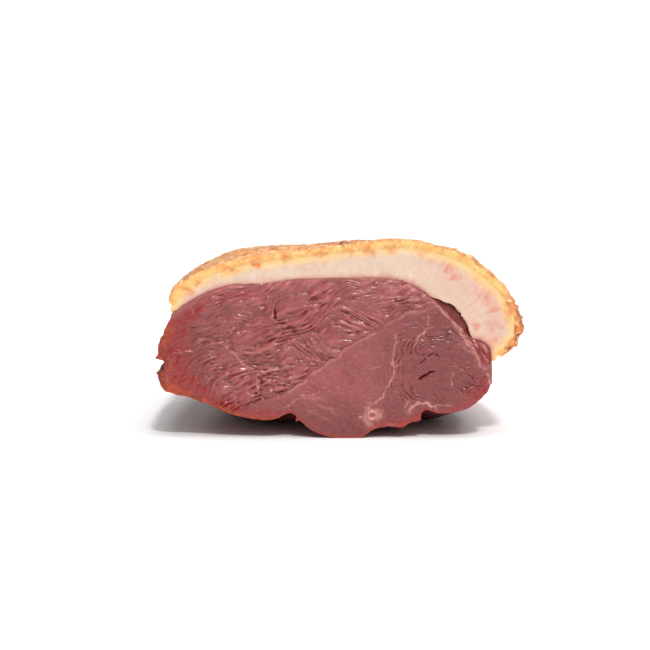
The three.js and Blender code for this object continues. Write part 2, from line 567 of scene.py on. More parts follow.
@dataclass(frozen=True)
class SkinFinish(Finish):
    """Smoked skin: golden with brown hollows between its pores, and a shine of its own fat."""

    name: str = "smoked skin"
    wet: float = 0.26
    dry: float = 0.46
    coat: float = 0.30
    light_depth: float = 1.2
    light_share: float = 0.25
    relief: float = 0.16

    def material(self) -> bpy.types.Material:
        """Builds the material from the masks stored on the skin."""
        material, sheet, shader = self.start()
        shader.inputs["Subsurface Radius"].default_value = (1.0, 0.55, 0.25)
        place = sheet.place()
        gold = self.effect(
            sheet, Effect.MOTTLE, Vector=place, Scale=340.0,
            Deep=tone(192, 118, 60), Middle=tone(214, 156, 98), Pale=tone(234, 212, 176),
        )
        edge = self.effect(
            sheet, Effect.MOTTLE, Vector=place, Scale=260.0,
            Deep=tone(222, 162, 88), Middle=tone(227, 180, 104), Pale=tone(234, 199, 130),
        )
        colour = sheet.blend(sheet.mask("edge"), gold, edge)
        colour = sheet.blend(sheet.mask("hollow"), colour, tone(186, 108, 52))
        colour = sheet.blend(sheet.mask("caramel"), colour, tone(212, 120, 56))
        colour = sheet.blend(sheet.mask("scorch"), colour, tone(128, 58, 24))
        sheet.feed(shader.inputs["Base Color"], colour)
        rough = self.effect(sheet, Effect.GLOSS, Vector=place, Scale=420.0, Wet=self.wet, Dry=self.dry)
        sheet.feed(shader.inputs["Roughness"], rough)
        height = self.effect(sheet, Effect.GRAIN, Vector=place, Scale=900.0, Speckle=0.8)
        self.bump(sheet, shader, height)
        return material


# ---------------------------------------------------------------------------
# Meshes: from a node's solid to an even skin of faces with a fine cut
# ---------------------------------------------------------------------------


def pick(piece: bpy.types.Object) -> None:
    """Makes a piece the only selected one, and the active one."""
    bpy.ops.object.select_all(action="DESELECT")
    piece.select_set(True)
    bpy.context.view_layer.objects.active = piece


def choose_faces(piece: bpy.types.Object, wanted: object) -> None:
    """In edit mode, selects only the faces whose middle passes a test.

    Args:
        piece: The piece being edited.
        wanted: A test on a face's middle, in metres.
    """
    bpy.ops.mesh.select_mode(type="FACE")
    bpy.ops.mesh.select_all(action="DESELECT")
    shape = bmesh.from_edit_mesh(piece.data)
    for face in shape.faces:
        face.select_set(wanted(face.calc_center_median()))
    bmesh.update_edit_mesh(piece.data)


@dataclass
class Surface:
    """A piece's points while it is worked, with the masks that its finish reads."""

    spots: np.ndarray
    normals: np.ndarray
    on_cut: np.ndarray
    on_rim: np.ndarray
    rim_distance: np.ndarray
    masks: dict[str, np.ndarray] = field(default_factory=dict)

    @property
    def flat(self) -> np.ndarray:
        """The points as (x, z), as seen on the cut."""
        return self.spots[:, [0, 2]]

    def push(self, distance: np.ndarray) -> None:
        """Moves the points along their normals, in millimetres."""
        self.spots = self.spots + self.normals * distance[:, None]

    def write(self, piece: bpy.types.Object) -> None:
        """Puts the points and the masks back on the piece, with none below the table."""
        mesh = piece.data
        self.spots[:, 2] = np.maximum(self.spots[:, 2], 0.0)
        mesh.vertices.foreach_set("co", (self.spots * MM).astype(np.float32).ravel())
        for name, values in self.masks.items():
            kind = "FLOAT" if values.ndim == 1 else "FLOAT_VECTOR"
            layer = mesh.attributes.new(name, kind, "POINT")
            key = "value" if values.ndim == 1 else "vector"
            layer.data.foreach_set(key, values.astype(np.float32).ravel())
        mesh.update()


@dataclass
class Tissue:
    """One tissue of the breast, worked up from its node's solid.

    Attributes:
        node: The node that the piece stands for.
        name: The piece's name.
        slot: The record's material slot; not used.
        mesh_step: Size of the faces on the outside.
        net_step: Distance between the points of the net on the cut.
        fine_depth: How far behind the cut the outside has faces of half the size.
        rim_depth: How far behind the cut it has faces of a quarter of the size.
        grow: How far the tissue is thickened, to meet its neighbour.
    """

    node: Node
    name: str
    slot: str
    mesh_step: float
    net_step: float
    fine_depth: float
    grow: float
    rim_depth: float = 0.8
    spare: float = 3.0
    smooth_rounds: int = 3

    def build(self, frame: dict) -> bpy.types.Object:
        """Builds the finished piece and hands it to the frame.

        Args:
            frame: The loaded frame.

        Returns:
            The piece.
        """
        self.cut_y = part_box(self.node.value)[0].y / MM
        piece = self.even_block(frame)
        surface = self.cut_square(piece)
        self.sculpt(surface)
        surface.write(piece)
        self.dress(piece)
        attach(piece, BODY)
        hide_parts(self.node.value)
        LOG.info("%s: %d faces", self.name, len(piece.data.polygons))
        return piece

    def even_block(self, frame: dict) -> bpy.types.Object:
        """Copies the node's solid, lengthens it past the cut and gives it even faces.

        Args:
            frame: The loaded frame.

        Returns:
            The block, open at the cut.
        """
        mesh = frame["nodes"][self.node.value].data.copy()
        mesh.materials.clear()
        piece = bpy.data.objects.new(self.name, mesh)
        bpy.context.scene.collection.objects.link(piece)
        pick(piece)
        hair = 0.05 * MM
        cut = self.cut_y * MM
        bpy.ops.object.mode_set(mode="EDIT")
        bpy.ops.mesh.select_all(action="SELECT")
        bpy.ops.mesh.remove_doubles(threshold=0.001 * MM)
        choose_faces(piece, lambda middle: middle.y < cut + hair)
        bpy.ops.mesh.extrude_region_move(TRANSFORM_OT_translate={"value": (0, -self.spare * MM, 0)})
        bpy.ops.object.mode_set(mode="OBJECT")
        remesh = piece.modifiers.new("even faces", "REMESH")
        remesh.mode = "VOXEL"
        remesh.voxel_size = self.mesh_step * MM
        bpy.ops.object.modifier_apply(modifier=remesh.name)
        bpy.ops.object.mode_set(mode="EDIT")
        bpy.ops.mesh.select_all(action="SELECT")
        bpy.ops.mesh.vertices_smooth(factor=0.5, repeat=self.smooth_rounds)
        bpy.ops.transform.shrink_fatten(value=self.grow * MM)
        bpy.ops.mesh.bisect(plane_co=(0, cut, 0), plane_no=(0, -1, 0), clear_outer=True)
        for depth in (self.fine_depth, self.rim_depth):
            back = cut + depth * MM
            choose_faces(piece, lambda middle, back=back: middle.y < back)
            bpy.ops.mesh.subdivide(number_cuts=1, quadcorner="INNERVERT")
        bpy.ops.object.mode_set(mode="OBJECT")
        return piece

    def cut_square(self, piece: bpy.types.Object) -> Surface:
        """Closes the open end with a fine, flat net of triangles.

        Args:
            piece: The block, open at the cut.

        Returns:
            The piece's surface, ready to work.
        """
        shape = bmesh.new()
        shape.from_mesh(piece.data)
        shape.normal_update()
        rim_edges = [edge for edge in shape.edges if edge.is_boundary]
        rim = list(dict.fromkeys(corner for edge in rim_edges for corner in edge.verts))
        order = {corner: index for index, corner in enumerate(rim)}
        outline = np.array([(corner.co.x, corner.co.z) for corner in rim]) / MM
        sides = [(order[edge.verts[0]], order[edge.verts[1]]) for edge in rim_edges]
        net = self.net_points(outline, sides)
        spots = [Vector(spot) for spot in np.vstack([outline, net])]
        made, _, triangles, origins, _, _ = delaunay_2d_cdt(spots, sides, [], 1, 1e-6)
        corners = []
        for place, origin in zip(made, origins):
            if origin and origin[0] < len(rim):
                corners.append(rim[origin[0]])
            else:
                corners.append(shape.verts.new((place.x * MM, self.cut_y * MM, place.y * MM)))
        rim_normals = {corner: corner.normal.copy() for corner in rim}
        for triangle in triangles:
            faces = [corners[index] for index in triangle]
            if len(set(faces)) == 3:
                shape.faces.new(faces)
        shape.faces.ensure_lookup_table()
        bmesh.ops.recalc_face_normals(shape, faces=shape.faces)
        loose = [corner for corner in shape.verts if not corner.link_faces]
        bmesh.ops.delete(shape, geom=loose, context="VERTS")
        shape.verts.index_update()
        shape.normal_update()
        count = len(shape.verts)
        rim_set = set(rim)
        on_rim = np.array([corner in rim_set for corner in shape.verts])
        places = np.array([corner.co[:] for corner in shape.verts]) / MM
        normals = np.array([rim_normals.get(corner, corner.normal)[:] for corner in shape.verts])
        on_cut = np.abs(places[:, 1] - self.cut_y) < 0.001
        normals[on_cut & ~on_rim] = (0.0, -1.0, 0.0)
        shape.to_mesh(piece.data)
        shape.free()
        distance = np.full(count, np.inf)
        flat = places[:, [0, 2]]
        for corner in outline:
            distance = np.minimum(distance, np.hypot(*(flat - corner).T))
        return Surface(places, normals, on_cut, on_rim, distance)

    def net_points(self, outline: np.ndarray, sides: list[tuple[int, int]]) -> np.ndarray:
        """Spreads points in a honeycomb inside the outline of the cut.

        Args:
            outline: The outline's points as (x, z).
            sides: Pairs of outline points that are joined.

        Returns:
            The points inside, as (x, z).
        """
        low, high = outline.min(axis=0), outline.max(axis=0)
        rows = np.arange(low[1], high[1], self.net_step * math.sqrt(0.75))
        columns = np.arange(low[0], high[0], self.net_step)
        across, up = np.meshgrid(columns, rows)
        across = across + (np.arange(len(rows)) % 2)[:, None] * self.net_step / 2
        spots = stacked(across.ravel(), up.ravel())
        inside = np.zeros(len(spots), bool)
        room = np.full(len(spots), np.inf)
        for first, second in sides:
            start, end = outline[first], outline[second]
            crosses = (start[1] > spots[:, 1]) != (end[1] > spots[:, 1])
            slope = (end[0] - start[0]) / (end[1] - start[1] + 1e-12)
            inside ^= crosses & (spots[:, 0] < start[0] + (spots[:, 1] - start[1]) * slope)
            middle = (start + end) / 2
            room = np.minimum(room, np.hypot(*(spots - start).T))
            room = np.minimum(room, np.hypot(*(spots - middle).T))
        return spots[inside & (room > self.net_step * 0.6)]

    def sculpt(self, surface: Surface) -> None:
        """Works the surface. Each tissue has its own way."""
        raise NotImplementedError

    def dress(self, piece: bpy.types.Object) -> None:
        """Gives the piece its finish. Each tissue has its own."""
        raise NotImplementedError

    def shade(self, piece: bpy.types.Object, finish: Finish, crease: float) -> None:
        """Applies a finish and smooth shading that keeps edges sharper than the crease angle."""
        piece.data.materials.clear()
        piece.data.materials.append(finish.material())
        pick(piece)
        bpy.ops.object.shade_smooth_by_angle(angle=math.radians(crease))


@dataclass(frozen=True)
class Line:
    """A vein, seam or crease on the cut.

    Attributes:
        points: Points that it passes through, as (x, z).
        width: Half its width.
        rise: How far it stands out of the cut; less than zero goes in.
        pale: How pale it is, 0 to 1; on a few ridges the paleness is a painted highlight.
        crevice_shade: Painted shade along the groove, 0 to 1.
    """

    points: tuple[Spot, ...]
    width: float
    rise: float = 0.0
    pale: float = 0.0
    crevice_shade: float = 0.0


@dataclass(frozen=True)
class Tag:
    """A dried shred at the edge of the cut, as (x, z), with its size and how far it stands out."""

    x: float
    z: float
    size: float
    rise: float


@dataclass
class LeanMeat(Tissue):
    """The breast muscle: two bellies with a seam between them, veins and a smoked outside.

    Attributes:
        seam: The seam between the left and the right belly, as (x, z).
        bundle_lean: How far the left belly's bundles lean, in degrees.
        fall_turn: How far the bundles turn down where they fall to the right, in degrees.
        falls: Middle and reach of the places where they do.
        star: Where the left belly's wrinkles run together.
        net_middle: The middle of the left belly's net of small wrinkles.
        shell_middle: The middle of the right belly's shell-like ripples.
        vessel: The middle of the vessel cut through near the underside.
        vessel_radius: The radius of its wall.
        tags: Dried shreds at the edge of the cut.
        lines: Veins, seams and creases on the cut.
    """

    node: Node = Node.MEAT
    name: str = "lean_meat"
    slot: str = "lean_meat"
    mesh_step: float = 0.85
    net_step: float = 0.2
    fine_depth: float = 3.0
    grow: float = 0.16
    frame: dict = field(default_factory=dict)
    finish: MeatFinish = field(default_factory=MeatFinish)
    seam: tuple[Spot, ...] = (
        (-34.0, 1.0), (-26.0, 4.5), (-18.0, 8.4), (-13.0, 10.0), (-9.8, 12.0), (-6.8, 14.4), (-3.4, 17.0),
        (0.0, 19.7), (4.2, 22.5), (8.4, 24.9), (13.6, 27.8), (19.6, 29.8), (30.0, 33.0),
    )
    bundle_lean: float = 24.0
    fall_turn: float = 46.0
    falls: tuple[tuple[Spot, Spot], ...] = (((-5.0, 20.2), (6.5, 4.0)), ((4.0, 27.6), (6.5, 3.2)))
    star: Spot = (-24.6, 20.6)
    net_middle: Spot = (-21.0, 12.6)
    shell_middle: Spot = (22.6, 14.6)
    vessel: Spot = (7.3, 5.2)
    vessel_radius: float = 0.85
    tags: tuple[Tag, ...] = (
        Tag(-41.0, 18.3, 0.3, 0.4), Tag(-40.7, 15.0, 0.3, 0.35), Tag(-9.4, 4.4, 0.35, 0.9),
        Tag(17.2, 4.9, 0.8, 1.3), Tag(13.8, 3.2, 0.8, 0.5), Tag(34.0, 12.8, 0.4, 0.3),
    )
    # A line's last number paints its groove darker: painted shade in the crevice.
    lines: tuple[Line, ...] = (
        Line(((12.3, 24.2), (12.6, 22.4), (12.2, 20.4), (11.9, 18.2), (12.0, 16.4)), 0.17, 0.05, 0.62),
        Line(((12.0, 16.4), (11.9, 14.6), (11.4, 12.7), (10.6, 11.4), (9.8, 9.8), (8.6, 8.5)), 0.2, 0.05, 0.66),
        Line(((11.1, 17.1), (11.6, 16.6), (12.1, 16.2), (13.1, 16.6), (13.8, 17.6)), 0.22, 0.06, 0.72),
        Line(((8.4, 8.5), (8.1, 8.1)), 0.36, 0.1, 0.95),
        Line(((12.5, 21.9), (14.2, 22.3), (16.2, 22.8)), 0.14, 0.03, 0.4),
        Line(((9.6, 16.3), (8.0, 16.0), (6.2, 16.2)), 0.14, 0.02, 0.25),
        Line(((16.6, 20.2), (17.3, 21.8), (17.8, 23.2), (18.8, 24.3), (19.4, 24.8)), 0.18, 0.05, 0.62),
        Line(((19.4, 24.8), (20.2, 25.1), (21.0, 25.1)), 0.16, 0.04, 0.5),
        Line(((19.4, 24.8), (19.8, 26.4), (19.9, 28.2)), 0.13, 0.03, 0.36),
        Line(((15.4, 26.3), (17.6, 26.1), (19.2, 25.1)), 0.14, 0.03, 0.34),
        Line(((5.0, 21.2), (4.9, 22.4), (6.6, 23.8)), 0.13, 0.02, 0.3),
        Line(((25.9, 15.0), (25.4, 13.6), (25.2, 11.8)), 0.15, 0.03, 0.42),
        Line(((20.4, 31.8), (24.0, 28.0), (28.0, 23.0), (29.6, 20.9)), 0.42, 0.14, 0.55),
        Line(((29.6, 20.9), (30.6, 18.8), (31.6, 16.8), (33.0, 15.4)), 0.34, 0.12, 0.5),
        Line(((33.1, 15.0), (33.5, 13.8), (33.5, 12.4)), 0.3, 0.05, 0.8),
        Line(((29.7, 22.6), (30.2, 21.6), (30.7, 20.4)), 0.34, 0.12, 0.95),
        Line(((31.2, 21.8), (32.4, 20.8), (33.2, 19.2)), 0.3, 0.12, 0.55),
        Line(((31.6, 19.8), (32.4, 18.6), (33.2, 17.2)), 0.26, 0.1, 0.4),
        # Painted highlight: the paleness along this streak stands for its glint.
        Line(((9.4, 35.6), (10.6, 34.7), (11.8, 33.9)), 0.2, 0.04, 0.4),
        Line(((2.0, 32.4), (6.0, 33.8), (12.0, 34.6), (17.0, 34.0)), 0.3, 0.05, 0.28),
        Line(((4.0, 32.4), (12.0, 32.0), (17.0, 32.3), (20.2, 31.8)), 0.26, 0.05, 0.3),
        Line(((15.6, 5.8), (16.4, 7.2), (18.0, 7.9), (20.0, 7.8), (21.8, 6.4)), 0.5, 0.08, 0.85),
        Line(((14.4, 6.6), (15.2, 7.8), (15.8, 8.4)), 0.2, 0.04, 0.4),
        Line(((21.0, 7.8), (23.0, 7.5), (25.4, 7.4)), 0.24, 0.05, 0.4),
        Line(((4.3, 5.2), (4.9, 4.6)), 0.24, 0.06, 0.8),
        Line(((-13.0, 6.4), (-10.0, 8.8), (-6.5, 9.8), (-3.0, 8.6)), 0.3, 0.1, 0.22),
        Line(((-10.0, 9.2), (-6.0, 8.8), (-4.0, 7.4), (0.0, 5.2)), 0.3, 0.08, 0.2),
        Line(((-8.0, 6.8), (-5.0, 5.2), (-2.0, 4.0)), 0.3, 0.06, 0.18),
        Line(((-14.5, 29.8), (-14.4, 28.4), (-14.1, 26.8)), 0.24, -0.7, 0.0, 0.8),
        Line(((17.0, 34.0), (18.6, 33.1), (20.4, 31.9)), 0.16, -0.3, 0.0, 0.8),
        Line(((-15.0, 29.8), (-14.9, 28.4), (-14.7, 27.0)), 0.22, 0.25, 0.45),
        Line(((-15.8, 33.8), (-15.4, 32.0), (-14.6, 30.4)), 0.6, -0.3, 0.1),
        Line(((-14.0, 26.8), (-12.6, 27.6), (-11.4, 27.0)), 0.69, -0.2, 0.0, 0.06),
        Line(((-12.0, 28.8), (-8.0, 30.4), (-4.0, 31.2), (0.0, 31.8)), 0.5, 0.16, 0.1),
        Line(((-11.0, 29.9), (-8.0, 31.4), (-5.0, 32.0)), 0.46, -0.12, 0.0, 0.04),
        Line(((-6.6, 32.4), (-6.0, 32.0), (-5.6, 32.2)), 0.57, -0.3, 0.0, 0.07),
        Line(((-11.4, 25.6), (-10.8, 24.8), (-11.0, 24.0)), 0.92, -0.3, 0.0, 0.05),
        Line(((-11.2, 22.6), (-10.6, 21.2), (-9.0, 20.2), (-6.0, 19.4), (-3.0, 18.7)), 0.57, -0.2, 0.0, 0.07),
        Line(((-10.2, 18.2), (-6.0, 17.0), (-4.0, 16.2)), 0.46, -0.25, 0.0, 0.04),
        Line(((-10.0, 19.2), (-7.0, 18.2), (-4.4, 17.6)), 0.35, 0.14, 0.06),
        Line(((0.0, 29.0), (2.6, 27.9), (5.0, 26.6)), 0.46, -0.3, 0.0, 0.07),
        Line(((2.4, 27.6), (4.6, 26.4), (6.6, 25.4)), 0.4, -0.2, 0.0, 0.04),
        Line(((-19.6, 19.2), (-15.6, 20.8), (-12.2, 21.8)), 0.6, 0.2, 0.1),
        Line(((-20.0, 20.6), (-16.4, 22.2), (-12.0, 23.4)), 0.46, -0.2, 0.0, 0.03),
        Line(((-24.8, 20.0), (-22.0, 17.4), (-18.6, 15.0)), 0.34, 0.3, 0.3),
        # Painted highlight: the paleness along this band stands for its glints.
        Line(((-18.4, 15.0), (-16.4, 15.2), (-13.6, 15.9), (-10.4, 16.4)), 0.4, 0.3, 0.26),
        Line(((-18.2, 14.4), (-15.6, 14.3), (-12.0, 15.2)), 0.4, -0.23, 0.0, 0.05),
        Line(((-18.4, 15.2), (-20.8, 16.6), (-23.2, 18.8)), 0.46, -0.3, 0.0, 0.06),
        Line(((-18.5, 14.8), (-18.6, 12.0), (-18.4, 9.6)), 0.3, 0.35, 0.3),
        Line(((-17.9, 14.2), (-18.0, 11.8), (-17.8, 9.8)), 0.32, -0.25, 0.0, 0.06),
        Line(((-24.4, 22.4), (-24.2, 20.4), (-23.9, 18.4)), 0.34, -0.28, 0.0, 0.07),
        Line(((-24.3, 18.0), (-25.8, 16.4), (-27.4, 14.0), (-29.6, 12.4)), 0.37, -0.25, 0.0, 0.05),
        Line(((-27.6, 21.8), (-26.0, 20.8), (-24.8, 20.4)), 0.36, 0.3, 0.12),
        # Painted highlight: the paleness along this ridge stands for its glint.
        Line(((-37.4, 19.4), (-35.4, 19.5), (-33.2, 19.8)), 0.24, 0.4, 0.3),
        Line(((-37.6, 20.0), (-35.2, 20.2), (-33.0, 20.6)), 0.34, -0.15, 0.0, 0.05),
        Line(((17.6, 13.1), (19.2, 14.5), (20.9, 15.4)), 0.2, -0.8, 0.0, 0.9),
        Line(((17.9, 16.5), (20.0, 18.6), (21.3, 19.6)), 0.14, -0.4, 0.0, 0.45),
        Line(((20.6, 19.0), (21.4, 19.2), (22.3, 18.2)), 0.16, -0.4, 0.0, 0.5),
        Line(((18.6, 19.2), (20.0, 19.0), (21.0, 19.0)), 0.13, -0.3, 0.0, 0.3),
        Line(((17.6, 20.8), (18.4, 20.4), (19.2, 20.6)), 0.14, -0.12, 0.0, 0.1),
        Line(((26.4, 9.8), (27.6, 11.4), (29.8, 12.0), (31.6, 11.6)), 0.13, -0.25, 0.0, 0.35),
        Line(((27.4, 13.4), (28.6, 12.4), (29.6, 13.2), (30.2, 14.2)), 0.12, -0.25, 0.0, 0.3),
        Line(((25.8, 11.2), (27.0, 12.2), (27.2, 13.8)), 0.11, -0.1, 0.0, 0.12),
    )

    def sculpt(self, surface: Surface) -> None:
        """Works the cut, the outside and the masks of the meat."""
        x, y, z = surface.spots.T
        away = y - self.cut_y
        flat = surface.flat
        net = surface.on_cut & ~surface.on_rim
        wander = stacked(lumps(flat_points(flat), 3.2, 3, 66.0), lumps(flat_points(flat), 3.2, 3, 67.0)) * 0.6
        seam_away, side, seam_share = path_distance(flat + wander, rounded_path(self.seam))
        above = side * seam_away
        left_share = ease(above, -0.3, 0.5)
        flow = self.left_flow(flat)
        ring = self.ring_flow(flat)
        wrinkles = left_share * self.left_belly(flat, flow) + (1 - left_share) * self.right_belly(flat, ring)
        ridge = bell(above + 0.4, 0.4) - 0.8 * bell(above - 0.35, 0.4)
        seam_part = ease(seam_share, 0.16, 0.3) * ease(seam_share, 0.98, 0.84)
        wrinkles = wrinkles + ridge * 0.12 * seam_part
        drawn, pale, crevice_shade = self.drawn_lines(flat)
        broken = ease(lumps(flat_points(flat), 2.2, 2, 55.0), -0.35, 0.25)
        pale = np.maximum(pale, 0.3 * bell(above + 0.4, 0.3) * seam_part * broken)
        ring_away = np.hypot(flat[:, 0] - self.vessel[0], flat[:, 1] - self.vessel[1])
        ring_wall = bell(ring_away - self.vessel_radius, 0.26)
        around = lumps(flat_points(flat), 1.6, 3, 59.0) * 0.8
        drawn = drawn + 0.3 * ring_wall - 0.35 * bell(ring_away, 0.4)
        pale = np.maximum(pale, 0.85 * ring_wall)
        pale = np.maximum(pale, 0.5 * ease(ring_away + around * 1.6, 3.0, 1.0))
        swell = lumps(flat_points(flat), 15.0, 2, 7.0) * 0.5
        calm_rim = 1.0 + 2.6 * ease(x, -30.0, -38.0)
        hold = 0.2 + 0.8 * ease(surface.rim_distance / calm_rim, 0.0, 1.0)
        cut_move = (wrinkles + drawn + swell) * hold
        surface.spots[:, 0] += self.left_notches(surface, away)
        _, room = nearest_on(Node.FAT, surface.spots, self.frame)
        outside_move = self.outside(surface, away) + self.gap_fill(surface, away, room)
        surface.push(np.where(net, cut_move, outside_move))
        self.paint(surface, (away, room), wrinkles + drawn, (pale, crevice_shade), left_share)
        surface.masks["fibre"] = stacked(
            np.where(left_share > 0.5, flow[:, 0] * 0.35, flat[:, 0] * 0.7),
            np.where(left_share > 0.5, flow[:, 1] * 1.5, flat[:, 1] * 1.0),
            y * 0.22,
        )

    def left_flow(self, flat: np.ndarray) -> np.ndarray:
        """Gives places on the left belly along and across its bundles."""
        points = flat_points(flat)
        bent = flat + stacked(lumps(points, 11.0, 2, 1.0), lumps(points, 11.0, 2, 2.0)) * 1.9
        bent = bent + stacked(lumps(points, 3.0, 1, 41.0), lumps(points, 3.0, 1, 42.0)) * 0.25
        lean = math.radians(self.bundle_lean)
        along = bent[:, 0] * math.cos(lean) + bent[:, 1] * math.sin(lean)
        across = bent[:, 1] * math.cos(lean) - bent[:, 0] * math.sin(lean)
        return stacked(along, across)

    def ring_flow(self, flat: np.ndarray) -> np.ndarray:
        """Gives places on the right belly around and away from the shells' middle."""
        points = flat_points(flat)
        bent = flat + stacked(lumps(points, 9.0, 2, 1.0), lumps(points, 9.0, 2, 2.0)) * 2.0
        reach = bent - np.array(self.shell_middle)
        far = np.hypot(reach[:, 0], reach[:, 1])
        return stacked(np.arctan2(-reach[:, 0], reach[:, 1]) * 12.0, far)

    def left_belly(self, flat: np.ndarray, flow: np.ndarray) -> np.ndarray:
        """Gives the left belly's relief: bundles, wrinkles, the star and the net."""
        level = np.zeros(len(flat))
        points = flat_points(flat)
        strong = 0.65 + 0.45 * ease(lumps(points, 7.0, 2, 45.0), -0.35, 0.3)
        strong = strong * (1 - 0.6 * ease(flat[:, 0], -27.0, -35.0))
        rising = self.creased(flow, 43.0)
        falling = self.creased(self.turned(flow, self.fall_turn), 56.0)
        in_fall = np.zeros(len(flat))
        for middle, reach in self.falls:
            gone = np.hypot((flat[:, 0] - middle[0]) / reach[0], (flat[:, 1] - middle[1]) / reach[1])
            in_fall = np.maximum(in_fall, ease(gone + lumps(points, 4.0, 2, 57.0) * 0.3, 1.2, 0.6))
        bundle = self.bundles(flow, (7.0, 2.4), 3.0)
        plain = (rising * (1 - in_fall) + falling * in_fall) * strong + (bundle - 0.8) * 0.25 * (1 - in_fall)
        reach = flat - np.array(self.star)
        star_far = np.hypot(reach[:, 0], reach[:, 1])
        turn = np.arctan2(reach[:, 1], reach[:, 0])
        rays = crests(stacked(turn * 3.0, star_far / 5.0, level), 2, 46.0)
        in_star = bell(star_far, 3.4) * 0.7
        cells = stacked(flow[:, 0] / 3.0, flow[:, 1] / 1.5, level)
        lobes = np.sqrt(ease(cell_gap(cells, 47.0), 0.0, 0.4))
        net_reach = (flat - np.array(self.net_middle)) / (13.0, 6.5)
        in_net = ease(np.hypot(net_reach[:, 0], net_reach[:, 1]), 1.15, 0.55)
        netted = (lobes - 0.72) * 0.36 + rising * 0.7
        height = plain * (1 - 0.85 * in_net) + netted * in_net
        return height * (1 - in_star) + (rays * 0.34 - 0.2) * in_star

    @staticmethod
    def turned(flow: np.ndarray, degrees: float) -> np.ndarray:
        """Turns places by an angle."""
        angle = math.radians(degrees)
        along = flow[:, 0] * math.cos(angle) - flow[:, 1] * math.sin(angle)
        across = flow[:, 1] * math.cos(angle) + flow[:, 0] * math.sin(angle)
        return stacked(along, across)

    @staticmethod
    def creased(flow: np.ndarray, seed: float) -> np.ndarray:
        """Gives two sets of crowned wrinkles that run into each other, all long one way."""
        level = np.zeros(len(flow))
        broad = stacked(flow[:, 0] / 9.0, flow[:, 1] / 4.5, level)
        rows = crowned(flow[:, 1] / 1.55 + lumps(broad, 1.0, 2, seed) * 1.2)
        leaning = flow[:, 1] + flow[:, 0] * 0.2
        small_rows = crowned(leaning / 0.95 + lumps(broad, 1.0, 2, seed + 1.0) * 1.6)
        patch = ease(lumps(stacked(flow[:, 0] / 4.4, flow[:, 1] / 2.2, level), 1.0, 2, seed + 3.0), -0.35, 0.3)
        small_patch = ease(lumps(stacked(flow[:, 0] / 2.8, flow[:, 1] / 1.7, level), 1.0, 2, seed + 5.0), -0.3, 0.2)
        furrow = crests(stacked(flow[:, 0] / 4.2, flow[:, 1] / 1.5, level), 1, seed + 7.0)
        tall = rows * (0.2 + 0.8 * patch) * 0.66
        low = small_rows * (0.25 + 0.75 * small_patch) * 0.42
        return np.maximum(tall, low + 0.08) * 1.1 - furrow * 0.22 - 0.24

    def right_belly(self, flat: np.ndarray, ring: np.ndarray) -> np.ndarray:
        """Gives the right belly's relief: shell-like ripples and a close grain."""
        level = np.zeros(len(flat))
        drift = lumps(stacked(ring[:, 0] / 5.0, ring[:, 1] / 4.0, level), 1.0, 2, 6.0) * 1.3
        ripple = crowned(ring[:, 1] / 1.0 + drift)
        shown = ease(lumps(stacked(ring[:, 0] / 3.4, ring[:, 1] / 2.0, level), 1.0, 2, 68.0), -0.3, 0.3)
        near = ease(ring[:, 1], 18.0, 9.0) * ease(ring[:, 1], 2.5, 7.0)
        lean = self.turned(flat, 12.0)
        low_grain = lumps(stacked(lean[:, 0] / 1.7, lean[:, 1] / 1.0, level), 1.0, 4, 48.0)
        crackle = ease(cell_gap(flat_points(flat) / 1.3, 49.0), 0.14, 0.0)
        in_crackle = bell(np.hypot(flat[:, 0] - 28.4, (flat[:, 1] - 12.2) * 1.4), 3.6)
        grain = (ripple - 0.7) * shown * near * 0.42 + low_grain * 0.12
        return grain - crackle * in_crackle * 0.15

    def drawn_lines(self, flat: np.ndarray) -> tuple[np.ndarray, np.ndarray, np.ndarray]:
        """Gives the height, the paleness and the painted crevice shade that the drawn lines add."""
        points = flat_points(flat)
        height = np.zeros(len(flat))
        pale = np.zeros(len(flat))
        crevice_shade = np.zeros(len(flat))
        wander = stacked(lumps(points, 2.0, 3, 9.0), lumps(points, 2.0, 3, 10.0)) * 0.5
        swelling = 0.75 + 0.9 * lumps(points, 1.2, 1, 50.0)
        for line in self.lines:
            line_away, _, line_share = path_distance(flat + wander, rounded_path(line.points))
            ends = ease(line_share, -0.06, 0.16) * ease(line_share, 1.06, 0.84)
            body = bell(line_away / swelling, line.width) * ends
            height = height + body * line.rise
            pale = np.maximum(pale, body * line.pale)
            # Painted shade in the crevices that the lines cut.
            crevice_shade = np.maximum(crevice_shade, body * line.crevice_shade)
        return height, pale, crevice_shade

    def outside(self, surface: Surface, away: np.ndarray) -> np.ndarray:
        """Gives the relief of the smoked outside: strands along the breast, folds and notches."""
        x, y, z = surface.spots.T
        strands = lumps(surface.spots * (1.0, 0.12, 1.0), 1.6, 3, 11.0)
        folds = self.bundles(stacked(y, x + 0.6 * z), (26.0, 3.4), 12.0)
        broad = lumps(surface.spots, 11.0, 2, 13.0)
        calm = 0.12 + 0.88 * ease(away, 0.0, 2.5)
        left_wall = ease(x, -33.0, -37.0)
        flap = ease(x, 8.0, 10.0) * ease(x, 19.0, 17.0) * ease(z, 8.0, 6.0)
        ragged = lumps(surface.spots * (1.0, 0.4, 1.0), 1.6, 3, 51.0) * (0.08 + 0.22 * np.maximum(left_wall * 0.6, flap))
        shreds = np.zeros(len(x))
        for tag in self.tags:
            far = np.hypot(x - tag.x, z - tag.z)
            shreds = shreds + tag.rise * bell(far, tag.size) * ease(away, 1.4, 0.2)
        relief = (strands * 0.16 + (folds - 1.0) * 0.3 + broad * 0.45) * calm
        return relief + ragged + shreds

